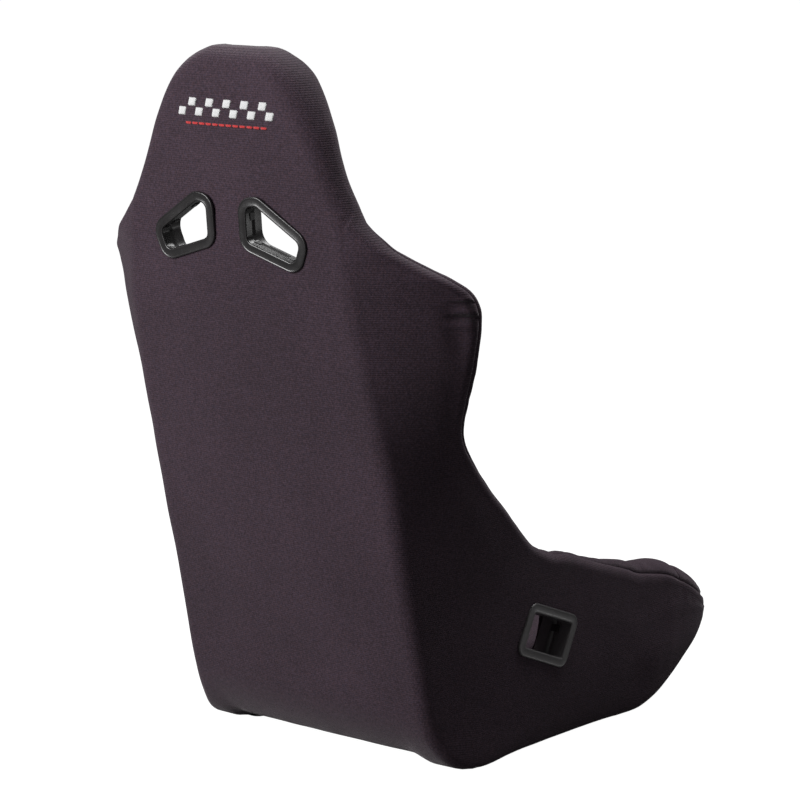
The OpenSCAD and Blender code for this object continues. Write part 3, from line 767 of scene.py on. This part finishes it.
def puff(g, crown, tuck=6.0, roll=13.0, seams=(1, 1, 1, 1), extra=None, seed=0, thin=None, rim=(0, 0)):
    """Crowns a grid between its seams and tucks its edges in, less where the rim is thin."""
    n = smooth_field(grid_normals(g))
    thin = np.ones(len(g)) if thin is None else thin
    thin = thin[:, None]
    m, k = g.shape[:2]
    li = np.concatenate([np.zeros((1, k)), np.cumsum(np.linalg.norm(np.diff(g, axis=0), axis=2), axis=0)])
    lj = np.concatenate([np.zeros((m, 1)), np.cumsum(np.linalg.norm(np.diff(g, axis=1), axis=2), axis=1)], axis=1)
    big = 1e4
    di0, di1 = (li if seams[0] else li + big), (li[-1] - li if seams[1] else li + big)
    dj0, dj1 = (lj if seams[2] else lj + big), (lj[:, -1:] - lj if seams[3] else lj + big)
    # seams across the seat fade out towards the rim
    fade = np.ones_like(li)
    for flag, d in zip(rim, (dj0, dj1)):
        if flag:
            fade = fade * (.12 + .88 * smooth01((d - 12) / 50))
    sewn = 1 - (1 - edge_roll(di0, roll) * edge_roll(di1, roll)) * fade
    trim = np.ones_like(sewn)
    for flag, d in zip(rim, (dj0, dj1)):
        if flag:
            trim = trim * edge_roll(d, 7.0)
        else:
            sewn = sewn * edge_roll(d, roll)
    e = sewn * trim
    a, b = li / np.maximum(li[-1], 1), lj / np.maximum(lj[:, -1:], 1)
    dome = 1.0
    if seams[0] or seams[1]:
        dome = dome * (1 - np.abs(2 * a - 1) ** 3)
    dome = dome * (1 - np.abs(2 * b - 1) ** 3)
    # the padding lies flat over the rim roll and only swells inside it
    for flag, d in zip(rim, (dj0, dj1)):
        if flag:
            dome = dome * smooth01((d - 26) / 46)
    h = -tuck * (1 - sewn) - 3.0 * (1 - trim) + crown * dome * e
    h = h + e * (.5 * noise3(g, 120, 20 + seed) + .15 * noise3(g, 45, 40 + seed))
    # small gathers where the fabric is pulled into a seam
    near = np.minimum(np.minimum(di0, di1), np.minimum(dj0, dj1))
    h = h + .35 * gauss((near - 9) / 7) * noise3(g, 22, 60 + seed, 1)
    if extra is not None:
        h = h + extra * e
    h = h * thin
    return g + n * h[..., None], n


def thinness(i0, i1):
    return np.array([np.clip((Section(t).rr - 1) / 20, .08, 1) for t in spaced(i0 + .02, i1 - .02, row_count(i0, i1))])


def spaced(a, b, n, finer=3):
    """Row numbers from a to b, closer together at both ends."""
    t = np.linspace(0, 1, n)
    t = (1 - .55) * t + .55 * (.5 - .5 * np.cos(math.pi * t))
    return a + (b - a) * t


def pad_piece(name, g, thick, crown, uv=None, **kw):
    front, n = puff(g, crown, **kw)
    thin = kw.get("thin")
    n = smooth_field(n)
    back = front - n * (thick if thin is None else thick * thin[:, None, None])
    ob = solid_from_grids(name, front, back)
    orient(ob)
    set_material(ob, PAD)
    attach(ob, "root")
    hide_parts(name.replace("soft_", ""))
    return ob


def row_count(i0, i1):
    length = _cum[i1] - _cum[i0]
    return max(12, int(length / (5.5)))


def middle_grid(i0, i1, n=30, gap=1.4):
    rows = []
    for t in spaced(i0 + .02, i1 - .02, row_count(i0, i1)):
        s = Section(t)
        p = resample(s.middle_path(n), n)
        p[:, 0] = np.maximum(p[:, 0] - gap * p[:, 0] / max(p[0, 0], 1), 0)
        # front faces: j runs from +x to -x so that normals point out of the padding
        rows.append([s.lift(q, 1) for q in p] + [s.lift(q, -1) for q in p[::-1][1:]])
    return drape(np.array(rows))


def bolster_grid(i0, i1, side, n=44):
    rows, extra = [], []
    for t in spaced(i0 + .02, i1 - .02, row_count(i0, i1)):
        s = Section(t)
        p = resample(s.bolster_path(12, 30), n)
        seg = np.concatenate([[0], np.cumsum(np.hypot(*np.diff(p, axis=0).T))])
        bump = s.crest * gauss((seg - 34) / 20) * smooth01(seg / 10)
        row = [s.lift(q, side) for q in p]
        if side < 0:
            row, bump = row[::-1], bump[::-1]
        rows.append(row)
        extra.append(bump)
    return drape(np.array(rows)), np.array(extra)


def whole_grid(i0, i1, n=44, nm=26):
    """The full width of the front, from the cover's edge on one side to the other."""
    rows, extra = [], []
    for t in spaced(i0 + .02, i1 - .02, row_count(i0, i1)):
        s = Section(t)
        half = np.concatenate([s.bolster_path(12, 30), s.middle_path(nm)[1:]])
        p = resample(half, n)
        seg = np.concatenate([[0], np.cumsum(np.hypot(*np.diff(p, axis=0).T))])
        bump = s.crest * gauss((seg - 34) / 20) * smooth01(seg / 10)
        rows.append([s.lift(q, 1) for q in p] + [s.lift(q, -1) for q in p[::-1][1:]])
        extra.append(np.concatenate([bump, bump[::-1][1:]]))
    return drape(np.array(rows)), np.array(extra)


PADS = {}
g, e = whole_grid(0, I_NECK)
PADS["head"] = pad_piece("soft_head_pad", g, 12, 7, extra=e, seed=1, rim=(1, 1), thin=thinness(0, I_NECK))
PADS["back"] = pad_piece("soft_back_pad", middle_grid(I_NECK, I_LUMB), 12, 6, seed=2)
PADS["lumbar"] = pad_piece("soft_lumbar_pad", middle_grid(I_LUMB, I_SEAT), 14, 9, seed=3)
PADS["cushion"] = pad_piece("soft_seat_cushion", middle_grid(I_SEAT, I_ROLL), 16, 12, seed=4)
for side, word in ((1, "left"), (-1, "right")):
    g, e = bolster_grid(I_NECK, I_HIP, side)
    PADS["back_" + word] = pad_piece("soft_back_bolster_" + word, g, 11, 7, extra=e, seed=5, rim=(side > 0, side < 0))
    g, e = bolster_grid(I_HIP, I_ROLL, side)
    PADS["thigh_" + word] = pad_piece("soft_thigh_bolster_" + word, g, 11, 6, extra=e, seed=6, rim=(side > 0, side < 0))
g, e = whole_grid(I_ROLL, N_ROWS - 1)
PADS["roll"] = pad_piece("soft_front_roll", g, 10, 6, extra=e, seed=7, rim=(1, 1), thin=thinness(I_ROLL, N_ROWS - 1))

wide = cutter("tool_wide", [
    prism(ring_points(SHOULDER, 23), 10, 60, lambda p, s=s: at_shoulder(p, s)) for s in (-1, 1)])
cut(PADS["back"], wide)
for word in ("left", "right"):
    cut(PADS["thigh_" + word], slots)
for tool in (slots, wide, under):
    bpy.data.objects.remove(tool)


# ---------------------------------------------------------------- the bezels
def lathe_ring(name, outline, profile, place, mat, arc=7, uv=False):
    """Closed profile of (offset, height) pairs swept round an outline."""
    rings = [ring_points(outline, r, arc) for r, _ in profile]
    verts = np.concatenate([place(np.column_stack([p, np.full(len(p), h)])) for p, (_, h) in zip(rings, profile)])
    n, m = len(rings[0]), len(profile)
    faces = [[i * n + j, i * n + (j + 1) % n, ((i + 1) % m) * n + (j + 1) % n, ((i + 1) % m) * n + j]
             for i in range(m) for j in range(n)]
    ob = new_object(name, verts, faces)
    orient(ob)
    set_material(ob, mat)
    return ob


def corner_arc(cx, cy, r, a0, a1, k=4):
    return [(cx + r * math.cos(math.radians(a0 + (a1 - a0) * i / k)),
             cy + r * math.sin(math.radians(a0 + (a1 - a0) * i / k))) for i in range(k + 1)]


def bezel_profile(r_in, wall, width, t, depth):
    """(offset, height) round one half: up the tunnel, round the lip, across the face, down its edge and back."""
    ro = r_in + width
    p = [(r_in, -depth), (r_in, -depth * .5), (r_in, t - 1.6)]
    p += corner_arc(r_in + 1.5, t - 1.2, 1.5, 180, 90)          # inner lip, a little proud
    p += [(r_in + 2.6, t + .05), (r_in + 3.4, t - .25), (ro - 2.6, t - .35), (ro - 2.0, t - .2)]
    p += corner_arc(ro - 1.5, t - 1.35, 1.5, 90, 0)             # outer edge
    p += [(ro, .2), (ro - .5, -.4), (r_in + wall + .8, -.4), (r_in + wall, -1.2), (r_in + wall, -depth)]
    return p


def tongues(name, outline, r, h0, h1, place, mat, spots, width=9.0, proud=.9):
    """Small clip tongues that bridge the two halves inside the tunnel."""
    base = ring_points(outline, r, 7)
    closed = np.vstack([base, base[:1]])
    seg = np.linalg.norm(np.diff(closed, axis=0), axis=1)
    s = np.concatenate([[0], np.cumsum(seg)])
    bm = bmesh.new()
    for f in spots:
        c = f * s[-1]
        pts = []
        for k in range(7):
            d = c + width * (k / 6 - .5)
            q = np.array([np.interp(d % s[-1], s, closed[:, a]) for a in range(2)])
            d2 = (d + .5) % s[-1]
            q2 = np.array([np.interp(d2, s, closed[:, a]) for a in range(2)])
            tdir = (q2 - q) / max(np.linalg.norm(q2 - q), 1e-6)
            inward = np.array([-tdir[1], tdir[0]])
            pts.append((q, inward))
        top = []
        for lift, hh0, hh1 in ((-.5, h0, h1), (proud * .55, h0 + .1, h1 - .1), (proud, h0 + .7, h1 - .7)):
            ring = [(*(q + i * lift), hh0) for q, i in pts] + [(*(q + i * lift), hh1) for q, i in pts[::-1]]
            v = place(np.array(ring)) / 1000
            top.append([bm.verts.new(tuple(a)) for a in v])
        for a, b in zip(top, top[1:]):
            for k in range(14):
                bm.faces.new((a[k], a[(k + 1) % 14], b[(k + 1) % 14], b[k]))
        bm.faces.new(top[-1])
        bm.faces.new(top[0][::-1])
    bmesh.ops.recalc_face_normals(bm, faces=bm.faces)
    me = bpy.data.meshes.new(name)
    bm.to_mesh(me)
    bm.free()
    ob = bpy.data.objects.new(name, me)
    bpy.context.scene.collection.objects.link(ob)
    set_material(ob, mat)
    return ob


def finish_bezel(ob, node):
    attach(ob, "root")
    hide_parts(node)


for side, word in ((1, "left"), (-1, "right")):
    rear = lambda p, s=side: at_shoulder(p * [1, 1, -1], s)
    front_ = lambda p, s=side: at_shoulder(p * [1, 1, 1] + [0, 0, 35], s)
    ob = lathe_ring("bezel_rear_" + word, SHOULDER, bezel_profile(9, 3, 12, 3, 13.7), rear, BEZEL)
    finish_bezel(ob, "shoulder_bezel_rear_" + word)
    ob = lathe_ring("bezel_front_" + word, SHOULDER, bezel_profile(19, 3, 12, 3, 20.7), front_, BEZEL)
    finish_bezel(ob, "shoulder_bezel_front_" + word)
    ob = tongues("clips_shoulder_" + word, SHOULDER, 9, -13, -4.5, rear, SLEEVE, (.06, .30, .52, .72, .90))
    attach(ob, "root")
    out = lambda p, s=side: at_lap(p, s)
    inn = lambda p, s=side: at_lap(p * [1, 1, -1] - [0, 0, 42], s)
    # the lap bezels wear the paler plastic that carries painted light
    ob = lathe_ring("bezel_lap_outer_" + word, LAP, bezel_profile(2, 3, 12, 3, 20.7), out, LAP_BEZEL_PAINTED_LIGHT)
    finish_bezel(ob, "lap_bezel_outer_" + word)
    ob = lathe_ring("bezel_lap_inner_" + word, LAP, bezel_profile(2, 3, 12, 3, 20.7), inn, LAP_BEZEL_PAINTED_LIGHT)
    finish_bezel(ob, "lap_bezel_inner_" + word)
    ob = tongues("clips_lap_" + word, LAP, 2, -27, -15, out, SLEEVE, (.10, .36, .60, .86))
    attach(ob, "root")


# ---------------------------------------------------------------- embroidery
def on_cover(tree, x, z, lift):
    hit, nor, _, _ = tree.ray_cast(Vector((x / 1000, 1.0, z / 1000)), Vector((0, -1, 0)))
    return np.array(hit) * 1000 + np.array(nor if nor.y > 0 else -nor) * lift


def stitched_patch(bm, tree, quad, rise=.9, n=5):
    """A raised satin-stitch patch on the head's back, corners in x and z."""
    c = np.array(quad, float)
    top = []
    for i in range(n + 1):
        row = []
        for j in range(n + 1):
            u, v = i / n, j / n
            p = (c[0] * (1 - u) + c[1] * u) * (1 - v) + (c[3] * (1 - u) + c[2] * u) * v
            edge = min(u, 1 - u, v, 1 - v)
            row.append(bm.verts.new(tuple(on_cover(tree, p[0], p[1], -.3 + (rise + .3) * min(1, edge * n)) / 1000)))
        top.append(row)
    for i in range(n):
        for j in range(n):
            bm.faces.new((top[i][j], top[i + 1][j], top[i + 1][j + 1], top[i][j + 1]))
    # closed underneath
    rim = [top[i][0] for i in range(n)] + [top[n][j] for j in range(n)] + [top[i][n] for i in range(n, 0, -1)] + [top[0][j] for j in range(n, 0, -1)]
    bm.faces.new(rim[::-1])


def embroidery():
    bm0 = bmesh.new()
    bm0.from_mesh(cover.data)
    tree = BVHTree.FromBMesh(bm0)
    bm0.free()
    bm = bmesh.new()
    w, h, x0, z0, lean = 14.0, 11.5, -77.0, 806.0, 3.5
    for r in range(2):
        for c in range(11):
            if (r + c) % 2:
                continue
            xa, za = x0 + c * w, z0 + r * h
            l0, l1 = lean * r, lean * (r + 1)
            stitched_patch(bm, tree, [(xa - l0, za), (xa + w - l0, za), (xa + w - l1, za + h), (xa - l1, za + h)])
    out = []
    me = bpy.data.meshes.new("chequer")
    bmesh.ops.recalc_face_normals(bm, faces=bm.faces)
    bm.to_mesh(me)
    bm.free()
    out.append((me, WHITE))
    bm = bmesh.new()
    k = 12
    for c in range(k):
        xa, xb = -68 + 132 * c / k, -68 + 132 * (c + 1) / k
        stitched_patch(bm, tree, [(xa, 796), (xb + .3, 796), (xb + .3, 799.6), (xa, 799.6)], rise=.8, n=4)
    me = bpy.data.meshes.new("stripe")
    bmesh.ops.recalc_face_normals(bm, faces=bm.faces)
    bm.to_mesh(me)
    bm.free()
    out.append((me, RED))
    for me, mat in out:
        me.polygons.foreach_set("use_smooth", [True] * len(me.polygons))
        ob = bpy.data.objects.new("embroidered_" + me.name, me)
        bpy.context.scene.collection.objects.link(ob)
        set_material(ob, mat)
        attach(ob, "root")


embroidery()


# ---------------------------------------------------------------- the studio
def stage():
    bm = bmesh.new()
    bmesh.ops.create_circle(bm, cap_ends=True, radius=60, segments=96)
    me = bpy.data.meshes.new("floor")
    bm.to_mesh(me)
    bm.free()
    floor = bpy.data.objects.new("floor", me)
    bpy.context.scene.collection.objects.link(floor)
    n = Nodes("floor_white", (.86, .86, .86), .9)
    n.set(n.bsdf, "Specular IOR Level", .1)
    obj = n.coords()
    n.set(n.bsdf, "Base Color", n.mix(n.noise(obj, 3, 2), (.12, .12, .12), (.14, .14, .14)))
    n.set(n.bsdf, "Emission Color", (1, 1, 1, 1))
    path = n.t.nodes.new("ShaderNodeLightPath")
    n.set(n.bsdf, "Emission Strength", n.math("MULTIPLY", path.outputs["Is Camera Ray"], 1.0))
    set_material(floor, n.mat)
    world = bpy.data.worlds.new("studio")
    bpy.context.scene.world = world
    world.use_nodes = True
    t = world.node_tree
    t.nodes.clear()
    out = t.nodes.new("ShaderNodeOutputWorld")
    bg = t.nodes.new("ShaderNodeBackground")
    bg.inputs[0].default_value = (1, 1, 1, 1)
    bg.inputs[1].default_value = .085
    t.links.new(bg.outputs[0], out.inputs[0])


def softbox(name, pos, target, size, power):
    data = bpy.data.lights.new(name, "AREA")
    data.shape, data.size, data.size_y, data.energy = "RECTANGLE", size[0], size[1], power
    ob = bpy.data.objects.new(name, data)
    bpy.context.scene.collection.objects.link(ob)
    ob.location = pos
    ob.rotation_mode = "QUATERNION"
    ob.rotation_quaternion = (Vector(target) - Vector(pos)).to_track_quat("-Z", "Y")


stage()
softbox("key", (1.1, 3.2, 1.9), (0, .25, .5), (1.8, 2.2), 158)
softbox("top", (-.1, -.9, 2.8), (0, -.1, .3), (2.2, 1.4), 74)
softbox("edge", (-2.67, -2.38, .2), (-.2, 0, .16), (1.8, .34), 4.5)

# ---------------------------------------------------------------- the camera
EL, TH = math.radians(10.4), math.radians(40)
F = Vector((math.sin(TH) * math.cos(EL), -math.cos(TH) * math.cos(EL), -math.sin(EL)))
R = Vector((-math.cos(TH), -math.sin(TH), 0))
U = R.cross(F)
cam_data = bpy.data.cameras.new("camera")
cam_data.sensor_width = 36
cam_data.lens = 3037 / 800 * 36
cam_data.clip_start, cam_data.clip_end = .1, 200
cam = bpy.data.objects.new("camera", cam_data)
bpy.context.scene.collection.objects.link(cam)
cam.location = (-2.4522, 2.9865, 1.1248)
cam.rotation_mode = "QUATERNION"
cam.rotation_quaternion = F.to_track_quat("-Z", "Y")
bpy.context.scene.camera = cam
bpy.context.scene.view_settings.view_transform = "Standard"
bpy.context.scene.view_settings.look = "None"
